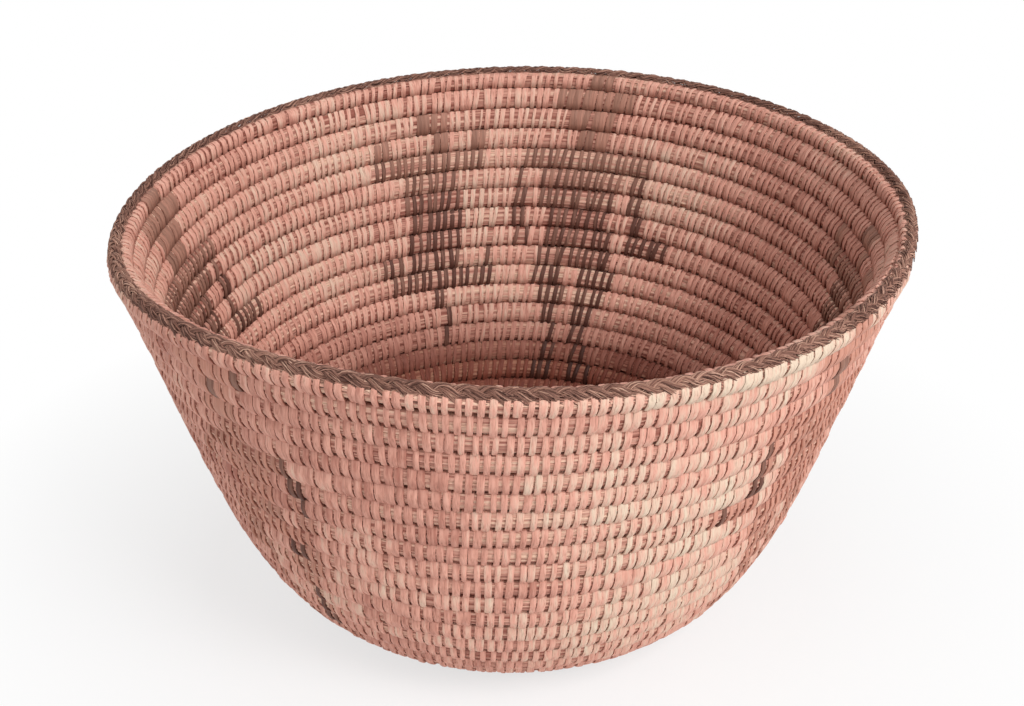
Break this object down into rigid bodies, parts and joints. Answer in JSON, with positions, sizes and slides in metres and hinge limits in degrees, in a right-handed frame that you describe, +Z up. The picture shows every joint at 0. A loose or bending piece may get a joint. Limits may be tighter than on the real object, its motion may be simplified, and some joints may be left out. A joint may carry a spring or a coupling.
{
  "type": "coiled basket bowl",
  "caption": "Coiled grass basket bowl with a flared wall, a flat base and a plaited rim, its sewn rows rising in a continuous spiral from a woven starting knot.",
  "frame": {"origin": "the surface that the bowl stands on, below the middle of the bowl's bounding box", "axes": "+Z up through the bowl's mouth, -Y towards the side with the plain outside wall, +X towards the side where the coil climbs and ends"},
  "size_m": [0.2672, 0.2672, 0.1529],
  "materials": {
    "sewn_grass": "matte sewn grass",
    "start_grass": "matte split leaf",
    "rim_splint": "dull dark splint"
  },
  "bodies": {
    "root": {"wall_coil": "sewn_grass", "base_coil": "sewn_grass", "start_strip_1": "start_grass", "start_strip_2": "start_grass", "start_strip_3": "start_grass", "start_strip_4": "start_grass", "rim_plait_strand_1": "rim_splint", "rim_plait_strand_2": "rim_splint", "rim_plait_strand_3": "rim_splint"}
  },
  "joints": []
}
